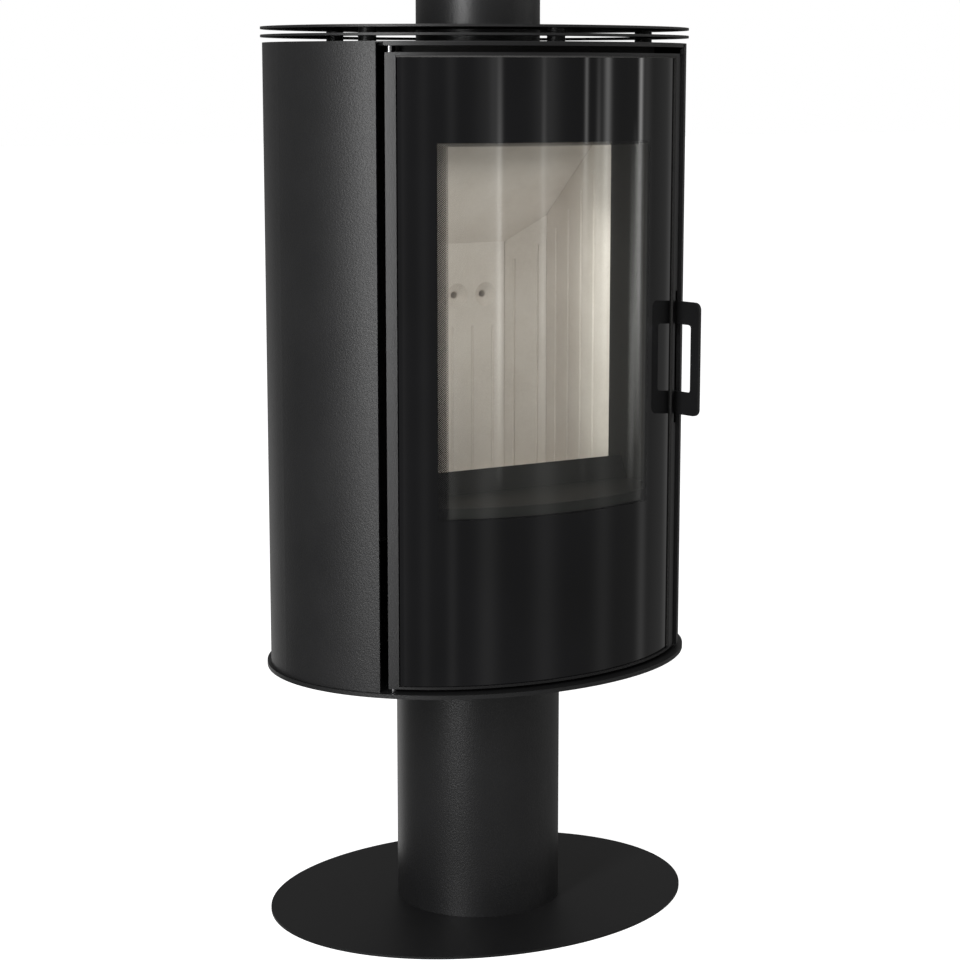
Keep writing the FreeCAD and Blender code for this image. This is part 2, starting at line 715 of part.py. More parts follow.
def air_knob():
    """Stem through the slot in the bottom plate, with a turned knob under it."""
    stem = rod(KNOB_X, KNOB_Y, PIN_R, BODY_Z - 3, BOTTOM_TOP + 2.4)
    nut = rod(KNOB_X, KNOB_Y, 5.5, BOTTOM_TOP + 2.4, BOTTOM_TOP + 6.4)
    knob = rod(KNOB_X, KNOB_Y, KNOB_R, BODY_Z - 17, BODY_Z - 3)
    return union([knob.makeFillet(2.5, knob.Edges[:1] + knob.Edges[2:]), stem, nut])


# ---------------------------------------------------------------- door
def door_rail(z0, z1, ledge_z0, ledge_z1, pin_z0, pin_z1):
    """Curved rail plate with the upstand that backs the glass."""
    plate = door_strip(DOOR_FACE, INNER_FACE, z0, z1)
    ledge = door_strip(LEDGE_FACE, LEDGE_BACK, ledge_z0, ledge_z1)
    for side in (-1, 1):
        ledge = ledge.cut(door_band(side, -5, LEDGE_REACH, ledge_z0, ledge_z1))
    rail = union([plate, ledge])
    return rail.cut(rod(HINGE.x, HINGE.y, PIN_R + FIT, pin_z0, pin_z1))


def door_top_rail():
    return door_rail(STILE_Z1, DOOR_Z1, STILE_Z1 - LEDGE_WIDTH, STILE_Z1, STILE_Z1, DOOR_Z1)


def door_bottom_rail():
    return door_rail(DOOR_Z0, STILE_Z0, STILE_Z0, STILE_Z0 + LEDGE_WIDTH, DOOR_Z0, STILE_Z0)


def door_stile(side, strip_from, strip_to):
    """Folded channel: the strip beside the glass, the door's side and the glass ledge."""
    z0, z1 = STILE_Z0, STILE_Z1
    strip = shell(DOOR_FACE, DOOR_FACE + DOOR_SHEET, z0, z1)
    strip = strip.common(door_band(side, strip_from, strip_to, z0, z1))
    flank = shell(DOOR_FACE, INNER_FACE, z0, z1).common(door_band(side, 0, DOOR_SHEET, z0, z1))
    ledge = shell(LEDGE_FACE, LEDGE_BACK, z0, z1).common(door_band(side, 0, LEDGE_REACH, z0, z1))
    return strip, flank, ledge


def door_stile_left():
    strip, flank, ledge = door_stile(-1, 0, LEFT_STRIP)
    for z0 in (STILE_Z0, STILE_Z1 - HINGE_BLOCK):
        room = door_band(-1, -1, LEFT_STRIP, z0, z0 + HINGE_BLOCK)
        flank = flank.cut(room.cut(oval(CASING, z0, z0 + HINGE_BLOCK).cut(
            oval(CASING, z0, z0 + HINGE_BLOCK, DOOR_FACE + DOOR_SHEET))))
        ledge = ledge.cut(room)
    return union([strip, flank, ledge])


def door_stile_right():
    """Right channel, with the notch that the handle comes out through; its strip covers the latch."""
    strip, flank, ledge = door_stile(1, -RIGHT_OVERHANG, RIGHT_STRIP)
    z0, z1 = HANDLE_Z0 - NOTCH_MARGIN, HANDLE_Z1 + NOTCH_MARGIN
    notch = door_band(1, -5, NOTCH_WIDTH, z0, z1)
    depth = shell(DOOR_FACE - 1, DOOR_FACE + 18.5, z0, z1)
    return union([strip, flank, ledge]).cut(notch.common(depth))


def hinge_blocks():
    """Two bored blocks that fill the left channel at its ends."""
    blocks = []
    for z0, depth in ((STILE_Z0, 14.0), (STILE_Z1 - HINGE_BLOCK, HINGE_BLOCK)):
        z1 = z0 + HINGE_BLOCK
        block = shell(DOOR_FACE + DOOR_SHEET, INNER_FACE, z0, z1)
        block = block.common(door_band(-1, 0, LEFT_STRIP, z0, z1))
        bore_z0 = z0 if depth < HINGE_BLOCK else z1 - 14.0
        blocks.append(block.cut(rod(HINGE.x, HINGE.y, PIN_R + FIT, bore_z0, bore_z0 + 14.0)))
    return group(blocks)


def hinge_pins():
    bottom = rod(HINGE.x, HINGE.y, PIN_R, BODY_Z, STILE_Z0 + 13.5)
    top = rod(HINGE.x, HINGE.y, PIN_R, STILE_Z1 - 13.5, CASING_TOP - TOP_SHEET)
    return group([bottom, top])


def door_inner_frame():
    frame = door_strip(INNER_FACE, INNER_BACK, STILE_Z0, STILE_Z1)
    return frame.cut(box(-OPENING_HALF, OPENING_HALF, -FAR, 0, OPENING_Z0, OPENING_Z1))


def glass_zone(z0, z1):
    zone = door_strip(GLASS_FACE, GLASS_BACK, z0, z1)
    zone = zone.cut(door_band(-1, -5, LEFT_STRIP + GLASS_GAP, z0, z1))
    return zone.cut(door_band(1, -5, RIGHT_STRIP + BEAD + GLASS_GAP, z0, z1))


def door_glass():
    return glass_zone(STILE_Z0 + GLASS_GAP, GLASS_TOP)


def glass_gasket():
    """Tape between the glass and its ledges, packing over its top and a bead at its right edge."""
    z0, z1 = STILE_Z0, STILE_Z1
    tape = door_strip(GLASS_BACK, LEDGE_FACE, z0, z1)
    tape = tape.cut(door_band(-1, -5, LEFT_STRIP + 3, z0, z1))
    tape = tape.cut(door_band(1, -5, RIGHT_STRIP + 5, z0, z1))
    zone = door_strip(GLASS_BACK - 1, LEDGE_FACE + 1, z0 + LEDGE_WIDTH, z1 - LEDGE_WIDTH)
    for side in (-1, 1):
        zone = zone.cut(door_band(side, -5, LEDGE_REACH, z0, z1))
    packing = door_strip(DOOR_FACE + 1, GLASS_BACK, GLASS_TOP, z1)
    packing = packing.cut(door_band(-1, -5, LEFT_STRIP, GLASS_TOP, z1))
    packing = packing.cut(door_band(1, -5, RIGHT_STRIP, GLASS_TOP, z1))
    bead = shell(DOOR_FACE + 0.3, LEDGE_FACE, z0, z1)
    bead = bead.common(door_band(1, RIGHT_STRIP, RIGHT_STRIP + BEAD, z0, z1))
    return union([tape.cut(zone), packing, bead])


def door_rope_seal():
    z0, z1 = 372.0, 1028.0
    width = 12.0
    band = shell(INNER_BACK, ROPE_BACK, z0, z1).common(box(-174, 174, -FAR, 0, z0, z1))
    return band.cut(box(-162, 162, -FAR, 0, z0 + width, z1 - width))


# ---------------------------------------------------------------- latch and handle
CLAW_ZS = (586.0, 792.0)
CLAW_THICK = 8.0


def turned(shape, degrees):
    shape.rotate(LATCH, V(0, 0, 1), degrees)
    return shape


def latch_shaft():
    return rod(LATCH.x, LATCH.y, SHAFT_R, SHAFT_Z0, SHAFT_Z1)


def latch_claws():
    """Hooks that swing behind the catch studs, drawn here in the released position."""
    claws = []
    for z0 in CLAW_ZS:
        z1 = z0 + CLAW_THICK
        hub = rod(LATCH.x, LATCH.y, SHAFT_R + 2.3, z0, z1)
        pts = [(4, 0), (4, 28), (-10, 28), (-10, 20.5), (-4, 20.5), (-4, 0)]
        arm = prism([(LATCH.x + x, LATCH.y + y) for x, y in pts], z0, z1)
        claw = union([hub, arm]).cut(rod(LATCH.x, LATCH.y, SHAFT_R, z0, z1))
        claws.append(turned(claw, -LATCH_TURN))
    return group(claws)


def latch_bearings():
    """Two bored lugs on the outside of the door's right flank."""
    p, n, t = edge_at(DOOR_EDGE_X, DOOR_FACE)
    reach = (LATCH - p).dot(t)
    lugs = []
    for z0 in (599.0, 773.5):
        z1 = z0 + 10
        end = reach + SHAFT_R + 1.5
        corners = ((11.5, 0), (23.5, 0), (23.5, end), (11.5, end))
        lug = prism([tuple(p - n * a + t * b)[:2] for a, b in corners], z0, z1)
        lugs.append(lug.cut(rod(LATCH.x, LATCH.y, SHAFT_R + FIT, z0, z1)))
    return group(lugs)


def thickness_edges(shape, at_u, z_values):
    """Edges along the plate's thickness at one end of the plate."""
    found = []
    for edge in shape.Edges:
        a, b = edge.Vertexes[0].Point, edge.Vertexes[-1].Point
        level = abs(a.z - b.z) < EPS and abs(a.x - b.x) < EPS and abs(a.x - at_u) < EPS
        if level and any(abs(a.z - z) < EPS for z in z_values):
            found.append(edge)
    return found


def door_handle():
    """Flat loop, cut from plate, that stands forward of the door's right strip."""
    z0, z1 = HANDLE_Z0, HANDLE_Z1
    t = HANDLE_THICK / 2
    plate = box(0, HANDLE_REACH, -t, t, z0, z1)
    plate = plate.makeFillet(9.0, thickness_edges(plate, HANDLE_REACH, (z0, z1)))
    inner = HANDLE_REACH - HANDLE_BAR
    w0, w1 = z0 + HANDLE_ARM, z1 - HANDLE_ARM
    window = box(HANDLE_ROOT, inner, -2 * t, 2 * t, w0, w1)
    window = window.makeFillet(4.0, thickness_edges(window, inner, (w0, w1))
                               + thickness_edges(window, HANDLE_ROOT, (w0, w1)))
    plate = plate.cut(window)
    plate.rotate(V(0, 0, 0), V(0, 0, 1), HANDLE_ANGLE)
    plate.translate(LATCH)
    return plate.cut(latch_shaft())


def door_catches():
    """Two studs beside the right cheek, each on an ear just under or just over its claw."""
    c = LATCH + CATCH_OFFSET
    catches = []
    for ear_z, stud_z0, stud_z1 in ((576.0, 580.0, 598.0), (804.0, 788.0, 804.0)):
        ear = box(FIRE_HALF + STEEL, 195, -104, -88, ear_z, ear_z + 4)
        catches.append(union([ear, rod(c.x, c.y, CATCH_R, stud_z0, stud_z1)]))
    return group(catches)


# ---------------------------------------------------------------- all the pieces
NODES = {
    "floor_plate": floor_plate,
    "base_screws": base_screws,
    "pedestal_column": pedestal_column,
    "column_rings": column_rings,
    "column_head_bolts": column_head_bolts,
    "bottom_plate": bottom_plate,
    "air_spigot": air_spigot,
    "air_box": air_box,
    "air_slide_guides": air_slide_guides,
    "secondary_air_duct": secondary_air_duct,
    "ash_housing": ash_housing,
    "firebox_side_left": lambda: firebox_side(-1),
    "firebox_side_right": lambda: firebox_side(1),
    "firebox_back": firebox_back,
    "firebox_roof": firebox_roof,
    "firebox_floor": firebox_floor,
    "throat_left": lambda: throat(-1),
    "throat_right": lambda: throat(1),
    "front_frame": front_frame,
    "hearth_sill": hearth_sill,
    "log_guard": log_guard,
    "lining_back": lining_back,
    "lining_corner_left": lambda: lining_corner(-1),
    "lining_corner_right": lambda: lining_corner(1),
    "lining_side_left": lambda: lining_side(-1),
    "lining_side_right": lambda: lining_side(1),
    "lining_base": lining_base,
    "baffle": baffle,
    "grate": grate,
    "front_top_rail": front_top_rail,
    "body_top_plate": body_top_plate,
    "side_panel_left": lambda: side_panel(-1),
    "side_panel_right": lambda: side_panel(1),
    "rear_panel": rear_panel,
    "rear_panel_screws": rear_panel_screws,
    "rear_posts": rear_posts,
    "top_spacers": top_spacers,
    "lower_top_plate": lower_top_plate,
    "upper_top_plate": upper_top_plate,
    "top_plate_screws": top_plate_screws,
    "flue_collar": flue_collar,
    "flue_collar_screws": flue_collar_screws,
    "hinge_pins": hinge_pins,
    "door_catches": door_catches,
    "ash_pan": ash_pan,
    "air_slide": air_slide,
    "air_knob": air_knob,
    "door_top_rail": door_top_rail,
    "door_bottom_rail": door_bottom_rail,
    "door_stile_left": door_stile_left,
    "door_stile_right": door_stile_right,
    "hinge_blocks": hinge_blocks,
    "door_inner_frame": door_inner_frame,
    "door_glass": door_glass,
    "glass_gasket": glass_gasket,
    "door_rope_seal": door_rope_seal,
    "latch_bearings": latch_bearings,
    "latch_shaft": latch_shaft,
    "latch_claws": latch_claws,
    "door_handle": door_handle,
}

os.makedirs("parts", exist_ok=True)
for name, make in NODES.items():
    make().exportStep("parts/" + name + ".step")
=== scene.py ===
"""Studio view of the wood-burning stove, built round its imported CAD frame."""

import math

import bmesh
import bpy
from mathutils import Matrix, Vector


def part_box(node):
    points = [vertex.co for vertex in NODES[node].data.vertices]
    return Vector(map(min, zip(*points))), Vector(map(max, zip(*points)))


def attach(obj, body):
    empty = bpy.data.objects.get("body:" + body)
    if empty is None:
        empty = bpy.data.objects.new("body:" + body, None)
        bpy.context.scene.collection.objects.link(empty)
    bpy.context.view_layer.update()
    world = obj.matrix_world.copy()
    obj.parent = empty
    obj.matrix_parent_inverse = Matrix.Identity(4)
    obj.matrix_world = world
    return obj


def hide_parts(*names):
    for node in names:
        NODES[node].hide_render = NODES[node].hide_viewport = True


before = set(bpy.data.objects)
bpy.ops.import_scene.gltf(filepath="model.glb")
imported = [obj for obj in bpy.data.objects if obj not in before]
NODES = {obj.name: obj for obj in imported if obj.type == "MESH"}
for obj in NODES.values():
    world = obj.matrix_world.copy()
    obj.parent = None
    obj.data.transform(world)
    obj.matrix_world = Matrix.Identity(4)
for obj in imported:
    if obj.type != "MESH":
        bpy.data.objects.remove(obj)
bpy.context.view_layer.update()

# ---------------------------------------------------------------- the frame's own sizes
CASING = (0.2702, 0.2123)
GLASS_LOW, GLASS_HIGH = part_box("door_glass")
GLASS_INSET, GLASS_THICK = 0.0065, 0.004
WINDOW_X0, WINDOW_X1 = -0.1558, 0.1283
WINDOW_Z0, WINDOW_Z1 = 0.526, 0.9576
FADE_SIDE = 0.0108
FADE_TOP = 0.0039
DOT_PITCH = 0.0024
DOT_SIZE, DOT_SHRINK = 0.45, 0.09       # in pitches: at the edge, and lost across the fade


# ---------------------------------------------------------------- node helpers
def new_material(name):
    mat = bpy.data.materials.new(name)
    mat.use_nodes = True
    tree = mat.node_tree
    tree.nodes.clear()
    out = tree.nodes.new("ShaderNodeOutputMaterial")
    return mat, tree, out


def add(tree, kind, **values):
    node = tree.nodes.new(kind)
    for key, value in values.items():
        if hasattr(node, key):
            setattr(node, key, value)
        else:
            node.inputs[key.replace("_", " ")].default_value = value
    return node


def link(tree, a, out_name, b, in_name):
    tree.links.new(a.outputs[out_name], b.inputs[in_name])


def math_node(tree, operation, a, b=None, c=None):
    node = tree.nodes.new("ShaderNodeMath")
    node.operation = operation
    for i, v in enumerate((a, b, c)):
        if v is None:
            continue
        if isinstance(v, (int, float)):
            node.inputs[i].default_value = v
        else:
            tree.links.new(v, node.inputs[i])
    return node.outputs[0]


def object_coords(tree):
    return tree.nodes.new("ShaderNodeTexCoord").outputs["Object"]


def noise(tree, coords, scale, detail=3.0, rough=0.5):
    node = tree.nodes.new("ShaderNodeTexNoise")
    node.inputs["Scale"].default_value = scale
    node.inputs["Detail"].default_value = detail
    node.inputs["Roughness"].default_value = rough
    tree.links.new(coords, node.inputs["Vector"])
    return node.outputs["Fac"]


def ramp(tree, fac, stops):
    node = tree.nodes.new("ShaderNodeValToRGB")
    element = node.color_ramp.elements
    while len(element) < len(stops):
        element.new(0.5)
    for e, (pos, colour) in zip(element, stops):
        e.position = pos
        e.color = (*colour, 1.0)
    tree.links.new(fac, node.inputs["Fac"])
    return node.outputs["Color"]


def remap(tree, fac, low, high):
    node = tree.nodes.new("ShaderNodeMapRange")
    node.inputs["To Min"].default_value = low
    node.inputs["To Max"].default_value = high
    tree.links.new(fac, node.inputs["Value"])
    return node.outputs["Result"]


def bump(tree, height, strength, distance):
    node = tree.nodes.new("ShaderNodeBump")
    node.inputs["Strength"].default_value = strength
    node.inputs["Distance"].default_value = distance
    tree.links.new(height, node.inputs["Height"])
    return node.outputs["Normal"]


def painted(name, dark, light, rough_low, rough_high, grain, grain_height, specular=0.5):
    """Baked-on stove paint: fine grain, a soft cloud in the colour and a little dust."""
    mat, tree, out = new_material(name)
    coords = object_coords(tree)
    clouds = noise(tree, coords, 9.0, 4.0, 0.6)
    fine = noise(tree, coords, grain, 2.0, 0.7)
    shader = add(tree, "ShaderNodeBsdfPrincipled")
    shader.inputs["Specular IOR Level"].default_value = specular
    mixed = math_node(tree, "MULTIPLY_ADD", fine, 0.35, math_node(tree, "MULTIPLY", clouds, 0.65))
    tree.links.new(ramp(tree, mixed, [(0.3, dark), (0.7, light)]), shader.inputs["Base Color"])
    tree.links.new(remap(tree, clouds, rough_low, rough_high), shader.inputs["Roughness"])
    tree.links.new(bump(tree, fine, 0.35, grain_height), shader.inputs["Normal"])
    link(tree, shader, "BSDF", out, "Surface")
    return mat


def metal(name, colour, rough_low, rough_high, stretch):
    """Bare steel with fine rolling marks along one axis."""
    mat, tree, out = new_material(name)
    coords = object_coords(tree)
    mapping = add(tree, "ShaderNodeMapping")
    mapping.inputs["Scale"].default_value = stretch
    tree.links.new(coords, mapping.inputs["Vector"])
    lines = noise(tree, mapping.outputs["Vector"], 60.0, 4.0, 0.7)
    clouds = noise(tree, coords, 25.0, 3.0, 0.6)
    shader = add(tree, "ShaderNodeBsdfPrincipled")
    shader.inputs["Metallic"].default_value = 1.0
    tint = [c * 0.8 for c in colour]
    tree.links.new(ramp(tree, clouds, [(0.3, tint), (0.7, colour)]), shader.inputs["Base Color"])
    tree.links.new(remap(tree, lines, rough_low, rough_high), shader.inputs["Roughness"])
    tree.links.new(bump(tree, lines, 0.2, 0.0001), shader.inputs["Normal"])
    link(tree, shader, "BSDF", out, "Surface")
    return mat


def brick():
    """Pressed vermiculite: cream, slightly mottled, with flakes and fine pits."""
    mat, tree, out = new_material("fire_brick")
    coords = object_coords(tree)
    clouds = noise(tree, coords, 14.0, 5.0, 0.6)
    flakes = add(tree, "ShaderNodeTexVoronoi", feature="F1")
    flakes.inputs["Scale"].default_value = 420.0
    tree.links.new(coords, flakes.inputs["Vector"])
    fine = noise(tree, coords, 900.0, 3.0, 0.6)
    shader = add(tree, "ShaderNodeBsdfPrincipled")
    shader.inputs["Specular IOR Level"].default_value = 0.2
    mixed = math_node(tree, "MULTIPLY_ADD", flakes.outputs["Distance"], 0.25,
                      math_node(tree, "MULTIPLY", clouds, 0.75))
    stops = [(0.25, (0.65, 0.60, 0.56)), (0.5, (0.74, 0.69, 0.65)), (0.75, (0.80, 0.755, 0.72))]
    tree.links.new(ramp(tree, mixed, stops), shader.inputs["Base Color"])
    tree.links.new(remap(tree, fine, 0.8, 0.98), shader.inputs["Roughness"])
    height = math_node(tree, "MULTIPLY_ADD", fine, 0.6, flakes.outputs["Distance"])
    tree.links.new(bump(tree, height, 0.3, 0.0004), shader.inputs["Normal"])
    link(tree, shader, "BSDF", out, "Surface")
    return mat


def printed_glass():
    """Clear ceramic glass with a black print round the window that fades out in dots."""
    mat, tree, out = new_material("printed_glass")
    coords = object_coords(tree)
    split = add(tree, "ShaderNodeSeparateXYZ")
    tree.links.new(coords, split.inputs["Vector"])
    x, z = split.outputs["X"], split.outputs["Z"]

    def step(value, edge, up=True):
        a, b = (value, edge) if up else (edge, value)
        return math_node(tree, "GREATER_THAN", a, b)

    inside = step(x, WINDOW_X0)
    for test in (step(x, WINDOW_X1, False), step(z, WINDOW_Z0), step(z, WINDOW_Z1, False)):
        inside = math_node(tree, "MULTIPLY", inside, test)
    # dots on a staggered grid, a little smaller the further they are into the window
    across = math_node(tree, "DIVIDE", math_node(tree, "SUBTRACT", x, WINDOW_X0), DOT_PITCH)
    down = math_node(tree, "DIVIDE", math_node(tree, "SUBTRACT", WINDOW_Z1, z), DOT_PITCH)
    turned_a = math_node(tree, "FRACT", math_node(tree, "ADD", across, down))
    shifted = math_node(tree, "ADD", across, 1000.0)
    turned_b = math_node(tree, "FRACT", math_node(tree, "SUBTRACT", shifted, down))
    off_a = math_node(tree, "SUBTRACT", turned_a, 0.5)
    off_b = math_node(tree, "SUBTRACT", turned_b, 0.5)
    square_a = math_node(tree, "MULTIPLY", off_a, off_a)
    square_b = math_node(tree, "MULTIPLY", off_b, off_b)
    away = math_node(tree, "SQRT", math_node(tree, "ADD", square_a, square_b))
    side = math_node(tree, "DIVIDE", math_node(tree, "SUBTRACT", x, WINDOW_X0), FADE_SIDE)
    top = math_node(tree, "DIVIDE", math_node(tree, "SUBTRACT", WINDOW_Z1, z), FADE_TOP)
    nearest = math_node(tree, "MINIMUM", side, top)
    size = math_node(tree, "MULTIPLY_ADD", nearest, -DOT_SHRINK, DOT_SIZE)
    dot = math_node(tree, "LESS_THAN", away, size)
    faded = math_node(tree, "LESS_THAN", nearest, 1.0)
    dots = math_node(tree, "MULTIPLY", dot, faded)
    clear = math_node(tree, "SUBTRACT", inside, math_node(tree, "MULTIPLY", inside, dots))

    clouds = noise(tree, coords, 6.0, 3.0, 0.5)
    black = add(tree, "ShaderNodeBsdfPrincipled")
    ink = [(0.3, (0.0035, 0.0035, 0.004)), (0.7, (0.006, 0.006, 0.007))]
    tree.links.new(ramp(tree, clouds, ink), black.inputs["Base Color"])
    tree.links.new(remap(tree, clouds, 0.018, 0.034), black.inputs["Roughness"])
    black.inputs["IOR"].default_value = 1.5
    gloss = add(tree, "ShaderNodeBsdfGlossy")
    gloss.inputs["Color"].default_value = (1, 1, 1, 1)
    tree.links.new(remap(tree, clouds, 0.006, 0.014), gloss.inputs["Roughness"])
    through = add(tree, "ShaderNodeBsdfTransparent")
    through.inputs["Color"].default_value = (0.93, 0.94, 0.92, 1)
    facing = add(tree, "ShaderNodeLayerWeight")
    facing.inputs["Blend"].default_value = 0.5
    steep = math_node(tree, "POWER", facing.outputs["Facing"], 5.0)
    mirror_share = math_node(tree, "MULTIPLY_ADD", steep, 0.96, 0.04)
    pane = add(tree, "ShaderNodeMixShader")
    tree.links.new(mirror_share, pane.inputs[0])
    tree.links.new(through.outputs[0], pane.inputs[1])
    tree.links.new(gloss.outputs[0], pane.inputs[2])
    both = add(tree, "ShaderNodeMixShader")
    tree.links.new(clear, both.inputs[0])
    tree.links.new(black.outputs[0], both.inputs[1])
    tree.links.new(pane.outputs[0], both.inputs[2])
    tree.links.new(both.outputs[0], out.inputs["Surface"])
    return mat


def rope_fibre():
    """Dark grey glass-fibre yarn with a fuzzy surface."""
    mat, tree, out = new_material("rope_fibre")
    coords = object_coords(tree)
    strands = noise(tree, coords, 1400.0, 2.0, 0.6)
    shader = add(tree, "ShaderNodeBsdfPrincipled")
    greys = [(0.3, (0.035, 0.035, 0.036)), (0.7, (0.11, 0.107, 0.103))]
    tree.links.new(ramp(tree, strands, greys), shader.inputs["Base Color"])
    tree.links.new(remap(tree, strands, 0.75, 0.95), shader.inputs["Roughness"])
    tree.links.new(bump(tree, strands, 0.5, 0.0003), shader.inputs["Normal"])
    link(tree, shader, "BSDF", out, "Surface")
    return mat


# name, darkest and lightest colour, lowest and highest roughness, grain scale and height, specular
BODY_PAINT = painted("body_paint", (0.0088, 0.0089, 0.0095), (0.0155, 0.0155, 0.0162),
                     0.40, 0.50, 450.0, 0.0009)
PLATE_PAINT = painted("plate_paint", (0.0085, 0.0086, 0.0092), (0.0130, 0.0130, 0.0136),
                      0.46, 0.54, 900.0, 0.00012, 0.40)
TUBE_PAINT = painted("tube_paint", (0.0085, 0.0086, 0.0092), (0.0150, 0.0150, 0.0157),
                     0.34, 0.42, 450.0, 0.0008, 0.50)
DOOR_PAINT = painted("door_paint", (0.0075, 0.0075, 0.0080), (0.0132, 0.0132, 0.0138),
                     0.38, 0.47, 500.0, 0.0005, 0.43)
INNER_PAINT = painted("inner_paint", (0.018, 0.0175, 0.017), (0.032, 0.031, 0.030),
                      0.60, 0.75, 900.0, 0.0002)
# The same inner paint at about half its colour, for the hearth sill, log guard, throat and front
# frame: the darkening is painted shade round the fire opening.
INNER_PAINT_SHADED = painted("inner_paint_painted_shade", (0.0075, 0.0073, 0.0070), (0.0145, 0.0140, 0.0135),
                     0.60, 0.75, 700.0, 0.0002, 0.25)
STEEL = metal("plated_steel", (0.52, 0.52, 0.53), 0.25, 0.4, (1, 1, 12))
SHEET_STEEL = metal("sheet_steel", (0.42, 0.42, 0.43), 0.35, 0.5, (10, 1, 1))
CAST = painted("cast_iron", (0.02, 0.02, 0.02), (0.045, 0.043, 0.042),
               0.55, 0.75, 600.0, 0.0006)
KNOB = painted("knob_black", (0.012, 0.012, 0.012), (0.02, 0.02, 0.02),
               0.35, 0.45, 2500.0, 0.00005)
SEAL = rope_fibre()
BRICK = brick()
GLASS = printed_glass()

BY_NODE = {
    "lining_": BRICK, "baffle": BRICK,
    "side_panel": BODY_PAINT, "rear_panel": BODY_PAINT, "bottom_plate": BODY_PAINT,
    "floor_plate": PLATE_PAINT, "pedestal_column": TUBE_PAINT, "body_top_plate": BODY_PAINT,
    "front_top_rail": DOOR_PAINT, "lower_top_plate": BODY_PAINT, "upper_top_plate": BODY_PAINT,
    "flue_collar": TUBE_PAINT, "door_": DOOR_PAINT, "door_inner": INNER_PAINT, "door_catches": STEEL,
    "hearth_sill": INNER_PAINT_SHADED, "log_guard": INNER_PAINT_SHADED, "throat": INNER_PAINT_SHADED,
    "front_frame": INNER_PAINT_SHADED, "firebox": INNER_PAINT, "ash_housing": INNER_PAINT,
    "air_box": INNER_PAINT, "secondary": SHEET_STEEL, "air_slide_guides": SHEET_STEEL,
    "air_slide": SHEET_STEEL, "air_spigot": SHEET_STEEL, "ash_pan": SHEET_STEEL,
    "rear_posts": SHEET_STEEL,
    "column_rings": INNER_PAINT, "column_head_bolts": STEEL, "base_screws": STEEL,
    "rear_panel_screws": STEEL, "top_spacers": BODY_PAINT, "top_plate_screws": BODY_PAINT,
    "flue_collar_screws": STEEL, "hinge_pins": STEEL, "hinge_blocks": STEEL, "latch": STEEL,
    "grate": CAST, "air_knob": KNOB, "glass_gasket": SEAL, "door_rope_seal": SEAL,
    "door_glass": GLASS,
}


def material_for(node):
    best = max((k for k in BY_NODE if node.startswith(k)), key=len)
    return BY_NODE[best]


for node_name, obj in NODES.items():
    mat = material_for(node_name)
    if not obj.material_slots:
        obj.data.materials.append(mat)
    for slot in obj.material_slots:
        slot.material = mat


# ---------------------------------------------------------------- the glass, finely curved
def casing_point(x, inset):
    """Front point of the inset oval at x, and its outward normal."""
    a, b = CASING[0] - inset, CASING[1] - inset
    y = -b * math.sqrt(1 - (x / a) ** 2)
    return Vector((x, y, 0)), Vector((x / a ** 2, y / b ** 2, 0)).normalized()


def link_object(obj):
    bpy.context.scene.collection.objects.link(obj)
    return obj


def loops_mesh(name, loops):
    """Closed solid through a stack of loops of points, with its ends filled."""
    bm = bmesh.new()
    rings = [[bm.verts.new(p) for p in loop] for loop in loops]
    count = len(rings[0])
    for low, high in zip(rings, rings[1:]):
        for i in range(count):
            j = (i + 1) % count
            bm.faces.new((low[i], low[j], high[j], high[i]))
    bm.faces.new(list(reversed(rings[0])))
    bm.faces.new(rings[-1])
    bmesh.ops.recalc_face_normals(bm, faces=bm.faces)
    mesh = bpy.data.meshes.new(name)
    bm.to_mesh(mesh)
    bm.free()
    return mesh


def shade_smooth(obj, degrees):
    for poly in obj.data.polygons:
        poly.use_smooth = True
    bm = bmesh.new()
    bm.from_mesh(obj.data)
    limit = math.radians(degrees)
    for edge in bm.edges:
        if len(edge.link_faces) == 2 and edge.calc_face_angle(0.0) > limit:
            edge.smooth = False
    bm.to_mesh(obj.data)
    bm.free()


def glass_plan(shrink, bevel, steps=180):
    """Outline of the pane seen from above: front arc, then back arc, with eased corners."""
    x0, x1 = GLASS_LOW.x + shrink, GLASS_HIGH.x - shrink
    a = CASING[0] - GLASS_INSET
    t0, t1 = math.asin(x0 / a), math.asin(x1 / a)
    front, back = [], []
    for k in range(steps + 1):
        t = t0 + (t1 - t0) * k / steps
        p, n = casing_point(a * math.sin(t), GLASS_INSET)
        lift = bevel if k in (0, steps) else 0.0
        front.append(p - n * lift)
        back.append(p - n * (GLASS_THICK - lift))
    left = (front[1] - front[0]).normalized() * bevel
    right = (front[-2] - front[-1]).normalized() * bevel
    n_left = casing_point(x0, GLASS_INSET)[1] * bevel
    n_right = casing_point(x1, GLASS_INSET)[1] * bevel
    points = [front[0], front[0] + left + n_left] + front[2:-2]
    points += [front[-1] + right + n_right, front[-1], back[-1], back[-1] + right - n_right]
    return points + list(reversed(back[2:-2])) + [back[0] + left - n_left, back[0]]


def make_glass():
    low, high, ease = GLASS_LOW.z, GLASS_HIGH.z, 0.0006
    full, small = glass_plan(0.0, ease), glass_plan(ease, ease)
    loops = []
    for plan, z in ((small, low), (full, low + ease), (full, high - ease), (small, high)):
        loops.append([Vector((p.x, p.y, z)) for p in plan])
    obj = link_object(bpy.data.objects.new("glass_pane", loops_mesh("glass_pane", loops)))
    shade_smooth(obj, 25)
    obj.data.materials.append(GLASS)
    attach(obj, "door")
    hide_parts("door_glass")


make_glass()


# ---------------------------------------------------------------- the braided seal on the door
SEAL_LOW, SEAL_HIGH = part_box("door_rope_seal")
SEAL_WIDTH, SEAL_THICK = 0.012, 0.0056
SEAL_INSET, SEAL_CORNER = 0.0308, 0.02
STRANDS, STRAND_R, SEAL_TURNS = 7, 0.00115, 88


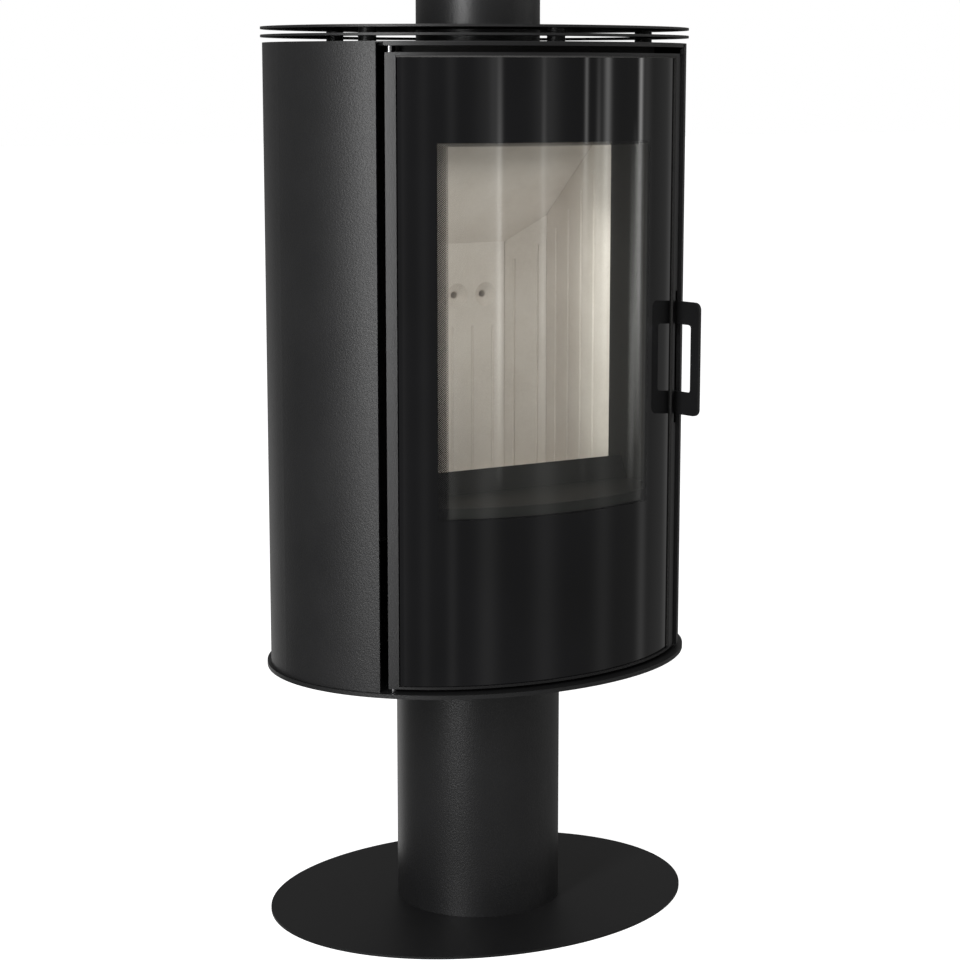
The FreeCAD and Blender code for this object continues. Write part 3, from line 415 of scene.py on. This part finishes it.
def seal_route(step=0.0024):
    """Evenly spaced (x, z) points round the seal's middle line, with rounded corners."""
    half = SEAL_HIGH.x - SEAL_WIDTH / 2
    low, high = SEAL_LOW.z + SEAL_WIDTH / 2, SEAL_HIGH.z - SEAL_WIDTH / 2
    outline = []
    for sx, sz, start in ((1, 1, 0), (-1, 1, 90), (-1, -1, 180), (1, -1, 270)):
        cx, cz = sx * (half - SEAL_CORNER), (high - SEAL_CORNER if sz > 0 else low + SEAL_CORNER)
        for k in range(9):
            angle = math.radians(start + 11.25 * k)
            outline.append(Vector((cx + SEAL_CORNER * math.cos(angle),
                                   cz + SEAL_CORNER * math.sin(angle))))
    points = []
    for a, b in zip(outline, outline[1:] + outline[:1]):
        count = max(1, round((b - a).length / step))
        points += [a.lerp(b, k / count) for k in range(count)]
    return points


def strand_loops(route, phase, sides=7):
    """Rings of one strand that winds round the seal's flat oval section."""
    loops = []
    for i, (x, z) in enumerate(route):
        p, n = casing_point(x, SEAL_INSET)
        ahead, behind = route[(i + 1) % len(route)], route[i - 1]
        way = Vector((ahead.x - behind.x, 0, ahead.y - behind.y)).normalized()
        across = way.cross(n).normalized()
        turn = 2 * math.pi * (SEAL_TURNS * i / len(route)) + phase
        middle = p + Vector((0, 0, z)) + across * (SEAL_WIDTH / 2 - STRAND_R) * math.cos(turn)
        middle += n * (SEAL_THICK / 2 - STRAND_R) * math.sin(turn)
        ring = [2 * math.pi * k / sides for k in range(sides)]
        loops.append([middle + (across * math.cos(a) + n * math.sin(a)) * STRAND_R for a in ring])
    return loops


def make_rope_seal():
    bm = bmesh.new()
    route = seal_route()
    for strand in range(STRANDS):
        loops = strand_loops(route, 2 * math.pi * strand / STRANDS)
        rings = [[bm.verts.new(p) for p in loop] for loop in loops]
        for low, high in zip(rings, rings[1:] + rings[:1]):
            for a in range(len(low)):
                b = (a + 1) % len(low)
                bm.faces.new((low[a], low[b], high[b], high[a]))
    bmesh.ops.recalc_face_normals(bm, faces=bm.faces)
    mesh = bpy.data.meshes.new("rope_seal")
    bm.to_mesh(mesh)
    bm.free()
    obj = link_object(bpy.data.objects.new("rope_seal", mesh))
    shade_smooth(obj, 80)
    obj.data.materials.append(SEAL)
    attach(obj, "door")
    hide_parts("door_rope_seal")


make_rope_seal()


# ---------------------------------------------------------------- studio
def area_light(name, place, aim, size, power, colour=(1, 1, 1)):
    data = bpy.data.lights.new(name, "AREA")
    data.shape = "RECTANGLE"
    data.size, data.size_y = size
    data.energy = power
    data.color = colour
    obj = link_object(bpy.data.objects.new(name, data))
    obj.location = place
    direction = Vector(aim) - Vector(place)
    obj.rotation_euler = direction.to_track_quat("-Z", "Y").to_euler()
    return obj


ROOM_GLOW = 0.173
EDGE_WIDTH = 0.75                        # 1/e width of a panel's bell, as a share of its half width
LOW_SLOPE, HIGH_SLOPE = 0.25, 0.1        # per degree, at a panel's lower and upper end
SOFTBOXES = [
    # azimuth and half width in degrees, brightness, lowest and highest elevation in degrees
    (-50, 5, 0.22, -40, 60), (-36, 4, 0.10, -40, 60), (-22, 3.5, 0.16, -40, 60),
    (-5, 7, 0.20, -40, 60), (-2, 3.0, 0.38, -8, 60), (22, 8, 0.16, -40, 60),
    (22, 7, 0.20, -8, 60), (41, 1.8, 0.22, -9, 60), (52, 7, 0.14, -40, 60),
    (52.5, 2.6, 1.75, -6, 30), (74.5, 2.0, 2.7, -7, 35), (79, 5, 0.24, -40, 60),
    (108, 6, 0.10, -40, 60), (0.5, 1.7, 2.6, -8, -1.5), (20.5, 1.4, 1.4, -6.5, -2),
    (41, 1.2, 1.5, -3.5, 8), (47.5, 1.6, 1.5, -5, -2), (70.5, 1.8, 3.0, -8, -6),
    # the pale floor behind, mirrored at a glance along the left edges
    (180, 22, 0.7, -40, -6), (-180, 22, 0.7, -40, -6),
]


def fade(tree, value, slope):
    """0 to 1 as the value rises through 0, where it is a half."""
    raised = math_node(tree, "MULTIPLY_ADD", value, slope, 0.5)
    return math_node(tree, "MAXIMUM", math_node(tree, "MINIMUM", raised, 1.0), 0.0)


def softbox(tree, azimuth, elevation, centre, half, low, high):
    """Brightness from 0 to 1 of one tall panel, bell-shaped across and cut off up and down."""
    aside = math_node(tree, "SUBTRACT", azimuth, float(centre))
    off = math_node(tree, "DIVIDE", aside, half * EDGE_WIDTH)
    square = math_node(tree, "MULTIPLY", off, off)
    bell = math_node(tree, "EXPONENT", math_node(tree, "MULTIPLY", square, -1.0))
    above = fade(tree, math_node(tree, "SUBTRACT", elevation, float(low)), LOW_SLOPE)
    below = fade(tree, math_node(tree, "SUBTRACT", float(high), elevation), HIGH_SLOPE)
    return math_node(tree, "MULTIPLY", math_node(tree, "MULTIPLY", bell, above), below)


def studio_world():
    """Dim room with tall soft panels standing round the stove, and a pale backdrop for the camera."""
    world = bpy.data.worlds.new("studio")
    bpy.context.scene.world = world
    world.use_nodes = True
    tree = world.node_tree
    tree.nodes.clear()
    out = tree.nodes.new("ShaderNodeOutputWorld")
    seen = add(tree, "ShaderNodeBackground")
    seen.inputs["Color"].default_value = (1, 1, 1, 1)
    coords = add(tree, "ShaderNodeTexCoord")
    split = add(tree, "ShaderNodeSeparateXYZ")
    tree.links.new(coords.outputs["Generated"], split.inputs["Vector"])
    back = math_node(tree, "MULTIPLY", split.outputs["Y"], -1.0)
    degrees = 180 / math.pi
    turn = math_node(tree, "ARCTAN2", split.outputs["X"], back)
    azimuth = math_node(tree, "MULTIPLY", turn, degrees)
    elevation = math_node(tree, "MULTIPLY", math_node(tree, "ARCSINE", split.outputs["Z"]), degrees)
    total = math_node(tree, "ADD", ROOM_GLOW, 0.0)
    for centre, half, strength, low, high in SOFTBOXES:
        part = softbox(tree, azimuth, elevation, centre, half, low, high)
        total = math_node(tree, "MULTIPLY_ADD", part, strength, total)
    lit = add(tree, "ShaderNodeBackground")
    lit.inputs["Color"].default_value = (1.0, 0.995, 0.985, 1)
    tree.links.new(total, lit.inputs["Strength"])
    path = add(tree, "ShaderNodeLightPath")
    mix = add(tree, "ShaderNodeMixShader")
    tree.links.new(path.outputs["Is Camera Ray"], mix.inputs[0])
    tree.links.new(lit.outputs[0], mix.inputs[1])
    tree.links.new(seen.outputs[0], mix.inputs[2])
    tree.links.new(mix.outputs[0], out.inputs["Surface"])


def studio_floor():
    mesh = bpy.data.meshes.new("studio_floor")
    half, drop = 30.0, 0.0003
    corners = [(-half, -half, 0), (half, -half, 0), (half, half, 0), (-half, half, 0)]
    mesh.from_pydata(corners, [], [(0, 1, 2, 3)])
    obj = link_object(bpy.data.objects.new("studio_floor", mesh))
    obj.location.z = -drop
    mat, tree, out = new_material("pale_floor")
    shader = add(tree, "ShaderNodeBsdfPrincipled")
    shader.inputs["Base Color"].default_value = (0.85, 0.85, 0.85, 1)
    shader.inputs["Roughness"].default_value = 0.9
    shader.inputs["Specular IOR Level"].default_value = 0.0
    shader.inputs["Emission Color"].default_value = (1, 1, 1, 1)
    shader.inputs["Emission Strength"].default_value = 0.95
    link(tree, shader, "BSDF", out, "Surface")
    mesh.materials.append(mat)
    obj.visible_glossy = False
    obj.visible_diffuse = False


def studio_camera():
    data = bpy.data.cameras.new("camera")
    data.sensor_width = 36.0
    data.lens = 88.69
    data.clip_end = 50.0
    obj = link_object(bpy.data.objects.new("camera", data))
    azimuth, distance, height = math.radians(-31.591), 2.9041, 1.0343
    obj.location = (distance * math.sin(azimuth), -distance * math.cos(azimuth), height)
    obj.rotation_euler = (math.radians(90 - 9.738), 0, math.radians(-31.643))
    bpy.context.scene.camera = obj


def from_azimuth(azimuth, distance, height):
    """A place at a distance from the stove's axis; azimuth 0 is in front and 90 on its right."""
    turn = math.radians(azimuth)
    return (distance * math.sin(turn), -distance * math.cos(turn), height)


def studio_lights():
    """A tall soft box on the left, a high one in front and two small ones just behind the door."""
    area_light("key", from_azimuth(-60, 2.6, 1.12), (0, 0, 0.7), (0.45, 2.0), 50)
    area_light("front", from_azimuth(-30, 3.2, 2.9), (0, 0, 0.75), (1.2, 1.0), 17)
    warm = (1.0, 0.98, 0.95)
    inside = (area_light("hearth_back", (0.0, -0.125, 0.74), (0, 0.1, 0.72), (0.28, 0.36), 0.15, warm),
              area_light("hearth_down", (0.0, -0.12, 0.80), (0, 0.1, 0.60), (0.28, 0.20), 0.23, warm))
    for glow in inside:
        glow.visible_camera = False
        glow.visible_glossy = False


studio_world()
studio_floor()
studio_camera()
studio_lights()

bpy.context.scene.view_settings.view_transform = "Standard"
bpy.context.scene.view_settings.look = "None"
